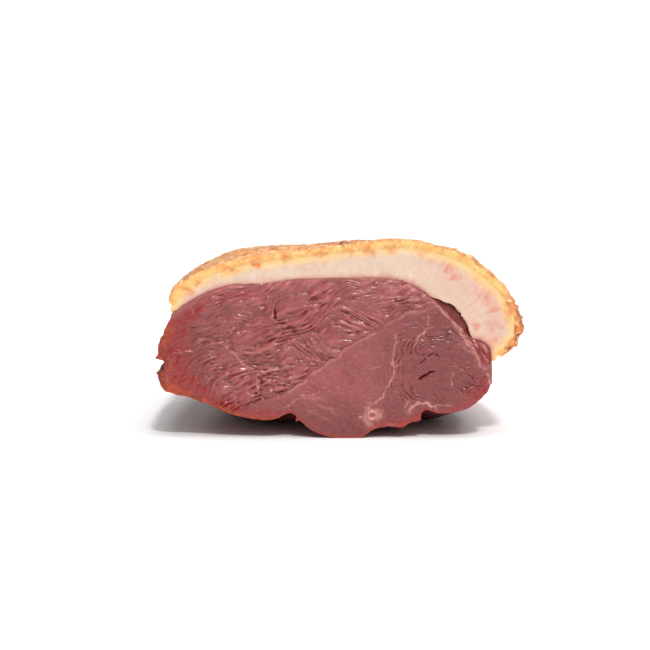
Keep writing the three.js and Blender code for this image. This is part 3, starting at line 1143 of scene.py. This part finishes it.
    @staticmethod
    def left_notches(surface: Surface, away: np.ndarray) -> np.ndarray:
        """Gives how far the left wall is drawn in: a deep notch, and a step above it."""
        x, _, z = surface.spots.T
        height = z - away * 0.05
        deep = ease(height, 15.0, 15.6) * ease(height, 18.2, 17.6) * 1.5
        step = ease(z + away * 0.08, 22.6, 23.8) * ease(z, 30.0, 27.0) * 0.6
        return (deep + step) * ease(x, -34.5, -39.5) * ease(away, 40.0, 12.0)

    def gap_fill(self, surface: Surface, away: np.ndarray, room: np.ndarray) -> np.ndarray:
        """Gives how far the torn tissue in the gap under the fat stands up from the meat.

        Args:
            surface: The meat's surface.
            away: Distance behind the cut.
            room: Distance to the fat.

        Returns:
            The heights.
        """
        x, _, z = surface.spots.T
        faces_fat = ease(surface.normals @ np.array((0.6, 0.0, 0.8)), 0.2, 0.6)
        there = self.in_gap(x, z) * ease(room, 3.6, 3.2)
        back = 0.5 + lumps(surface.spots, 3.0, 2, 52.0) * 0.3
        depth = ease(away, back - 0.5, back + 0.6)
        torn = 1.0 + 0.06 * lumps(surface.spots, 1.6, 3, 53.0)
        return np.clip(room + 0.3, 0.0, 3.3) * faces_fat * there * depth * torn

    @staticmethod
    def in_gap(x: np.ndarray, z: np.ndarray) -> np.ndarray:
        """Gives 1 on the slope that lies open under the fat."""
        return ease(x, 16.4, 18.0) * ease(x, 30.6, 29.4) * ease(z + 0.95 * x, 46.0, 48.0)

    def paint(
        self,
        surface: Surface,
        reaches: tuple[np.ndarray, np.ndarray],
        relief: np.ndarray,
        drawn: tuple[np.ndarray, np.ndarray],
        left_share: np.ndarray,
    ) -> None:
        """Stores the masks that the finish reads.

        Args:
            surface: The meat's surface.
            reaches: Distance behind the cut, and distance to the fat.
            relief: Height of the wrinkles on the cut; it also sets the painted shade in the furrows and the painted
                highlight on the ridge tops.
            drawn: Where veins and membranes are pale, with a painted highlight on a few ridges, and the painted
                shade in crevices.
            left_share: 1 on the left belly, 0 on the right.
        """
        x, _, z = surface.spots.T
        away, room = reaches
        pale, crevice_shade = drawn
        on_cut = np.where(surface.on_cut, 1.0, 0.0)
        surface.masks["smoke"] = np.maximum(1.0 - on_cut, self.smoke_reach(surface, room) * on_cut)
        # Painted shade in the furrows of the cut.
        surface.masks["groove_shade"] = ease(relief, 0.02, -0.34) * on_cut
        # Painted highlight on the ridge tops of the cut.
        surface.masks["crest"] = ease(relief, 0.06, 0.36) * on_cut
        surface.masks["pale"] = pale * on_cut
        gap = self.in_gap(x, z) * (1 - on_cut)
        patchy = 0.35 + 0.65 * ease(lumps(surface.spots, 1.5, 3, 61.0), -0.3, 0.3)
        end = ease(z + 1.9 * x, 77.4, 78.6) * ease(z, 16.2, 17.6)
        brown_end = end * patchy * 0.55
        peppered = ease(lumps(surface.spots, 0.8, 1, 58.0), 0.14, 0.24) * bell(z - 1.7, 0.8) * bell(x - 2.6, 2.8)
        # Painted shade: the notches and the downward-facing underside are painted maroon.
        notches = np.maximum(bell(x + 10.4, 3.4), bell(x - 19.0, 3.4)) * ease(z, 8.0, 7.0)
        notches = np.maximum(notches, ease(x, -37.0, -38.4) * bell(z - 15.2, 1.3)) * ease(away, 0.1, 0.7)
        under = np.maximum(ease(-surface.normals[:, 2], 0.2, 0.7) * ease(away, 0.4, 2.0) * 0.75, notches)
        # Painted shade of crevices, underside and notches, together with the gap's tissue and the brown end.
        maroon_and_shade = np.maximum(np.maximum(crevice_shade * on_cut, under), np.maximum(gap, brown_end))
        surface.masks["maroon_and_shade"] = np.maximum(maroon_and_shade, peppered * on_cut)
        surface.masks["smoke"] = np.maximum(surface.masks["smoke"] * (1 - gap), end * (0.3 + 0.4 * patchy) * on_cut)
        orange = 0.45 + 0.55 * ease(lumps(surface.spots, 1.8, 2, 69.0), -0.05, 0.3)
        by_flap = bell(x - 13.2, 4.2) * ease(z, 9.0, 6.5) * ease(away, 2.0, 0.5)
        surface.masks["smoke"] = surface.masks["smoke"] * (1 - by_flap * (1 - orange))
        wander = lumps(flat_points(surface.flat), 8.0, 2, 15.0) * 4.0
        over_flap = bell(np.hypot((x - 12.6) / 4.4, (z - 7.4) / 2.6), 0.9)
        low_right = ease(x + wander, 3.0, 22.0) * (1 - left_share)
        left_side = ease(x + wander, -24.0, -36.0) * 0.65
        # Painted shade: the cut is painted darker and redder towards the bottom.
        low = ease(z + wander * 0.4, 12.0, 3.0)
        surface.masks["ruddy_and_low_shade"] = np.maximum(np.maximum(low_right, left_side), np.maximum(over_flap, low))
        blush = ease(room + wander * 0.3, 5.0, 0.5) * 0.5
        surface.masks["blush"] = blush * on_cut

    @staticmethod
    def bundles(flow: np.ndarray, size: Spot, seed: float) -> np.ndarray:
        """Gives crowned muscle bundles that are long one way.

        Args:
            flow: Places along and across the fibres.
            size: Length and breadth of a bundle.
            seed: Picks another pattern.

        Returns:
            0 in the grooves between bundles, 1 on top of a bundle.
        """
        gap = cell_gap(flat_points(flow / np.array(size)), seed)
        return np.sqrt(ease(gap, -0.02, 0.42))

    def smoke_reach(self, surface: Surface, room: np.ndarray) -> np.ndarray:
        """Gives how far the smoke's colour reaches into the cut.

        Args:
            surface: The meat's surface.
            room: Distance to the fat.

        Returns:
            1 at the edge of the cut, fading to 0 inside; none along the fat.
        """
        x, _, z = surface.spots.T
        left = ease(x, -28.0, -38.0) * 4.0
        low_left = ease(x, -10.0, -20.0) * 1.7
        right = ease(x, 20.0, 32.0) * ease(z, 20.0, 8.0) * 3.4
        flap = ease(x, 8.0, 10.0) * ease(x, 18.0, 16.0) * ease(z, 6.4, 4.9) * 1.2
        reach = 0.55 + left + low_left + right + flap
        free = ease(room, 0.4, 3.2) * (1 - ease(z + 0.95 * x, 43.5, 46.0))
        torn = lumps(surface.spots, 3.6, 2, 54.0) * 0.45
        plain_red = 1 - 0.5 * ease(x, 17.0, 20.0)
        return np.exp(-((surface.rim_distance / (reach * (1 + torn))) ** 1.4)) * free * plain_red

    def dress(self, piece: bpy.types.Object) -> None:
        """Gives the meat its finish."""
        self.shade(piece, self.finish, 62.0)


def flat_points(flat: np.ndarray) -> np.ndarray:
    """Turns points on the cut into points in space, for noise."""
    return stacked(flat[:, 0], flat[:, 1], flat[:, 0] * 0.0)


def nearest_on(node: Node, spots: np.ndarray, frame: dict) -> tuple[np.ndarray, np.ndarray]:
    """Finds the nearest place on a node's solid.

    Args:
        node: The node to measure to.
        spots: Points, in millimetres.
        frame: The loaded frame.

    Returns:
        The nearest places and the distances to them, in millimetres.
    """
    mesh = frame["nodes"][node.value].data
    corners = [corner.co / MM for corner in mesh.vertices]
    faces = [tuple(face.vertices) for face in mesh.polygons]
    tree = BVHTree.FromPolygons(corners, faces)
    found = [tree.find_nearest(Vector(spot)) for spot in spots.tolist()]
    places = np.array([hit[0][:] for hit in found])
    return places, np.array([hit[3] for hit in found])


@dataclass(frozen=True)
class Blotch:
    """A soft patch of colour on the cut, with its middle, half width, half height and strength."""

    x: float
    z: float
    wide: float
    tall: float
    strength: float


def blotched(surface: Surface, blotches: tuple[Blotch, ...], seed: float) -> np.ndarray:
    """Adds up soft patches with wandering edges.

    Args:
        surface: The surface to mark.
        blotches: The patches.
        seed: Picks another pattern for the edges.

    Returns:
        The mask, 0 to 1.
    """
    wander = stacked(lumps(surface.spots, 2.4, 3, seed), lumps(surface.spots, 2.4, 3, seed + 1.0)) * 1.3
    spots = surface.flat + wander
    mask = np.zeros(len(spots))
    for blotch in blotches:
        far = np.hypot((spots[:, 0] - blotch.x) / blotch.wide, (spots[:, 1] - blotch.z) / blotch.tall)
        mask = np.maximum(mask, blotch.strength * ease(far, 1.25, 0.0))
    return mask


# Orange-brown stains that run from the skin into the fat.
STAINS = (
    Blotch(-34.6, 33.8, 2.4, 1.2, 0.7), Blotch(-31.6, 35.4, 2.0, 1.0, 0.6), Blotch(-24.6, 38.4, 2.6, 1.2, 0.75),
    Blotch(-18.4, 40.2, 1.7, 1.7, 0.95), Blotch(-12.3, 41.1, 1.7, 2.0, 1.0), Blotch(-4.2, 41.9, 3.0, 0.9, 0.85),
    Blotch(1.6, 42.2, 1.7, 1.1, 0.7), Blotch(6.8, 42.9, 1.4, 2.0, 0.9), Blotch(11.4, 43.0, 1.6, 1.1, 0.6),
    Blotch(18.2, 42.4, 2.4, 1.2, 0.5), Blotch(27.0, 40.9, 1.2, 1.2, 0.5), Blotch(37.8, 29.0, 1.2, 3.4, 0.6),
)


@dataclass
class FatLayer(Tissue):
    """The fat between the meat and the skin."""

    node: Node = Node.FAT
    name: str = "smoked_fat"
    slot: str = "fat"
    mesh_step: float = 0.75
    net_step: float = 0.25
    fine_depth: float = 2.0
    grow: float = 0.5
    finish: FatFinish = field(default_factory=FatFinish)
    flushes: tuple[Blotch, ...] = (
        Blotch(20.0, 40.6, 2.0, 1.2, 0.5), Blotch(24.4, 39.0, 2.4, 2.2, 0.7), Blotch(25.8, 37.0, 2.2, 1.4, 0.8),
        Blotch(31.0, 36.4, 1.6, 1.8, 0.7), Blotch(32.8, 32.6, 1.8, 2.6, 0.75), Blotch(34.6, 29.6, 2.4, 1.4, 0.7),
        Blotch(34.8, 25.4, 2.2, 1.2, 0.5), Blotch(34.4, 22.2, 1.8, 1.2, 0.7), Blotch(30.6, 25.6, 1.4, 1.6, 0.6),
        Blotch(-34.0, 32.4, 4.0, 1.8, 0.6), Blotch(-16.4, 36.0, 3.0, 0.6, 0.5), Blotch(11.0, 42.0, 1.4, 1.2, 0.4),
    )
    stains: tuple[Blotch, ...] = STAINS
    frame: dict = field(default_factory=dict)

    def sculpt(self, surface: Surface) -> None:
        """Works the fat's cut and outside, and its masks."""
        skin_places, skin_depth = nearest_on(Node.SKIN, surface.spots, self.frame)
        _, meat_depth = nearest_on(Node.MEAT, surface.spots, self.frame)
        soft = lumps(surface.spots, 6.0, 3, 21.0) * 0.22 + lumps(surface.spots, 1.5, 2, 22.0) * 0.05
        rolled = -0.12 * bell(meat_depth, 0.4)
        cut_move = (soft + rolled + 0.1) * ease(skin_depth, 0.3, 1.6)
        inside = surface.on_cut & ~surface.on_rim
        outside_move = lumps(surface.spots, 4.0, 3, 23.0) * 0.18
        ragged = lumps(surface.spots, 1.4, 3, 24.0) * 0.45
        free_edge = ease(skin_depth, 0.8, 2.0) * ease(meat_depth, 0.8, 2.0)
        surface.push(np.where(inside, cut_move, outside_move + ragged * free_edge))
        tucked = 0.16 * bell(meat_depth, 0.5) + 0.04
        surface.spots[:, 1] += np.where(surface.on_cut, tucked, 0.0)

        streaks = 0.55 + 0.45 * ease(lumps(skin_places + surface.spots * 0.25, 1.6, 3, 25.0), -0.3, 0.3)
        depth = skin_depth + lumps(surface.spots, 3.6, 2, 26.0) * 0.8
        surface.masks["golden"] = ease(depth, 2.6, 0.1)
        surface.masks["browned"] = np.clip(blotched(surface, self.stains, 62.0) * streaks * 1.5, 0.0, 1.0)
        marbled = 0.45 + 0.55 * ease(lumps(skin_places + surface.spots * 0.8, 1.5, 4, 28.0), -0.3, 0.4)
        flush = blotched(surface, self.flushes, 27.0) * marbled
        by_meat = ease(meat_depth + lumps(surface.spots, 2.6, 3, 63.0) * 0.6, 1.7, 0.2) * 0.6
        right_tint = ease(surface.spots[:, 0], 14.0, 28.0) * 0.3 * marbled
        surface.masks["flush"] = np.clip(np.maximum(flush * 1.4, by_meat) + right_tint, 0.0, 1.0)

    def dress(self, piece: bpy.types.Object) -> None:
        """Gives the fat its finish."""
        self.shade(piece, self.finish, 50.0)


@dataclass
class SmokedSkin(Tissue):
    """The skin over the fat, with its pores and folds.

    Attributes:
        fleck: A burnt fleck on top, across and behind the cut.
    """

    node: Node = Node.SKIN
    name: str = "smoked_skin"
    slot: str = "smoked_skin"
    mesh_step: float = 0.58
    net_step: float = 0.25
    fine_depth: float = 5.0
    grow: float = 0.16
    fleck: Spot = (0.7, 1.0)
    stains: tuple[Blotch, ...] = STAINS
    finish: SkinFinish = field(default_factory=SkinFinish)
    frame: dict = field(default_factory=dict)

    def sculpt(self, surface: Surface) -> None:
        """Works pores, folds and the ragged edge of the skin."""
        _, fat_depth = nearest_on(Node.FAT, surface.spots, self.frame)
        x, y, z = surface.spots.T
        outer = ease(fat_depth, 0.9, 1.5)
        bump_far = cell_middle(surface.spots / 2.1, 31.0)
        follicle = ease(bump_far, 0.62, 0.1)
        creases = cell_gap(surface.spots * (1.0, 1.4, 1.0) / 3.1, 32.0)
        crease = ease(creases, 0.22, 0.0)
        wave = lumps(surface.spots, 7.0, 3, 33.0)
        flank = ease(x, 34.0, 39.0) * ease(z, 36.0, 30.0)
        folds = lumps(surface.spots * (0.35, 0.5, 1.0), 1.7, 3, 34.0)
        on_right = ease(x, 10.0, 24.0)
        ragged = lumps(surface.spots, 2.0, 3, 60.0) * on_right
        move = follicle * 0.26 - crease * 0.2 + wave * 0.3 + folds * flank * 0.8 + ragged * 0.34
        net = surface.on_cut & ~surface.on_rim
        thick = fat_depth + lumps(surface.spots, 1.4, 3, 39.0) * 0.3
        rounding = ease(thick, 0.9, 1.8) * 0.15
        wrung = folds * flank * 0.9
        flush_join = ease(fat_depth, 0.0, 0.9)
        cut_move = (lumps(surface.spots, 1.3, 3, 35.0) * 0.16 + 0.08 - rounding + wrung) * flush_join + 0.02
        far_fleck = np.hypot((x - self.fleck[0]) / 1.3, y - self.cut_y - self.fleck[1])
        move = move + 0.9 * bell(far_fleck, 0.7)
        surface.push(np.where(net, cut_move, move * outer))

        patches = lumps(surface.spots, 3.2, 4, 36.0)
        sawn = np.where(surface.on_cut, 1.0, 0.0)
        turned = ease(thick, 1.0, 1.7)
        surface.masks["edge"] = sawn * (1 - turned * 0.6) + (1 - sawn) * (1 - outer)
        hollow = (1 - follicle) * ease(patches, -0.2, 0.5) * 0.7 + crease * 0.4
        flecks = ease(lumps(surface.spots, 1.3, 3, 37.0), 0.3, 0.6)
        stained = np.maximum(flecks * 0.3, blotched(surface, self.stains, 62.0))
        surface.masks["hollow"] = hollow * (1 - sawn) * outer
        scorch = ease(lumps(surface.spots, 5.0, 3, 38.0), 0.4, 0.85) * 0.45 * outer * (1 - sawn)
        scorch = np.maximum(scorch, ease(far_fleck, 1.2, 0.7) * outer)
        threads = bell(lumps(surface.spots * (1.0, 0.3, 1.0), 1.5, 2, 64.0), 0.1) * flank
        burnt = ease(thick, 1.2, 1.7) * ease(lumps(surface.spots, 2.2, 2, 65.0), -0.25, 0.2) * on_right * 0.4
        surface.masks["scorch"] = np.maximum(np.maximum(scorch, burnt * sawn), threads * 0.6)
        surface.masks["caramel"] = np.maximum(flank * (0.55 + 0.45 * ease(folds, -0.3, 0.3)), stained * sawn)

    def dress(self, piece: bpy.types.Object) -> None:
        """Gives the skin its finish."""
        self.shade(piece, self.finish, 60.0)


# ---------------------------------------------------------------------------
# Studio: floor, light and camera
# ---------------------------------------------------------------------------


@dataclass
class Studio:
    """A white table in soft light, with the camera square to the cut.

    Attributes:
        lens: Focal length of the camera.
        distance: From the camera to the cut, in millimetres.
        elevation: How far the camera looks down, in degrees.
        aim: What it looks at on the cut, as (x, z).
        floor_half: Half the width of the floor, in metres.
        backdrop: Brightness of the room behind the table.
        room_light: Light that the room itself gives.
        top_light: Light from above.
        front_light: Light from the front.
        window_light: Narrower light that makes the wet ridges glint.
    """

    lens: float = 100.0
    distance: float = 404.0
    elevation: float = 8.0
    aim: Spot = (-3.3, 25.8)
    floor_half: float = 30.0
    backdrop: float = 1.1
    room_light: float = 0.34
    top_light: float = 2.5
    front_light: float = 0.4
    window_light: float = 1.9

    def build(self, cut_y: float) -> None:
        """Builds the floor, the light and the camera.

        Args:
            cut_y: Where the cut is, in millimetres.
        """
        self.floor()
        self.light()
        self.camera(cut_y)
        bpy.context.scene.view_settings.view_transform = "Standard"
        LOG.info("studio: floor, light and camera")

    def floor(self) -> None:
        """Lays the plain white floor."""
        bpy.ops.mesh.primitive_plane_add(size=self.floor_half * 2, location=(0, 0, 0))
        floor = bpy.context.object
        floor.name = "floor"
        material = bpy.data.materials.new("white table")
        material.use_nodes = True
        shader = material.node_tree.nodes["Principled BSDF"]
        shader.inputs["Base Color"].default_value = (0.9, 0.9, 0.9, 1.0)
        shader.inputs["Roughness"].default_value = 0.32
        floor.data.materials.append(material)

    def sun(self, name: str, comes_from: tuple[float, float, float], strength: float, soft: float) -> None:
        """Adds a broad even light.

        Args:
            name: The light's name.
            comes_from: The direction that it comes from.
            strength: Its strength.
            soft: The angle that it spreads over, in degrees.
        """
        bpy.ops.object.light_add(type="SUN", location=(0, 0, 1))
        light = bpy.context.object
        light.name = name
        light.data.energy = strength
        light.data.angle = math.radians(soft)
        light.rotation_mode = "QUATERNION"
        light.rotation_quaternion = Vector(comes_from).to_track_quat("Z", "Y")

    def light(self) -> None:
        """Sets the white room and its soft lights."""
        world = bpy.data.worlds.new("white room")
        bpy.context.scene.world = world
        world.use_nodes = True
        sheet = NodeSheet(world.node_tree)
        room = world.node_tree.nodes["Background"]
        room.inputs["Color"].default_value = (1.0, 1.0, 1.0, 1.0)
        seen = sheet.add("ShaderNodeLightPath").outputs["Is Camera Ray"]
        lift = sheet.math("MULTIPLY", seen, self.backdrop - self.room_light)
        sheet.feed(room.inputs["Strength"], sheet.math("ADD", lift, self.room_light))
        self.sun("top cloth", (0.2, -0.1, 1.0), self.top_light, 50.0)
        self.sun("front cloth", (0.35, -1.0, 0.8), self.front_light, 40.0)
        self.sun("window", (0.15, -0.7, 1.0), self.window_light, 6.0)

    def camera(self, cut_y: float) -> None:
        """Sets up the camera in front of the cut."""
        tilt = math.radians(self.elevation)
        aim = Vector((self.aim[0], cut_y, self.aim[1])) * MM
        back = Vector((0.0, -math.cos(tilt), math.sin(tilt)))
        place = aim + back * self.distance * MM
        bpy.ops.object.camera_add(location=place)
        camera = bpy.context.object
        camera.name = "camera"
        camera.data.lens = self.lens
        camera.data.sensor_width = 36.0
        camera.data.clip_start = 0.02
        camera.rotation_mode = "QUATERNION"
        camera.rotation_quaternion = (-back).to_track_quat("-Z", "Y")
        bpy.context.scene.camera = camera


def main() -> None:
    """Builds the breast piece by piece around the frame, then the studio."""
    logging.basicConfig(level=logging.INFO, format="%(name)s: %(message)s")
    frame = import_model()
    bpy.ops.object.select_all(action="DESELECT")
    build_effects()
    meat = LeanMeat(frame=frame)
    meat.build(frame)
    FatLayer(frame=frame).build(frame)
    SmokedSkin(frame=frame).build(frame)
    Studio().build(meat.cut_y)


if __name__ == "__main__":
    main()
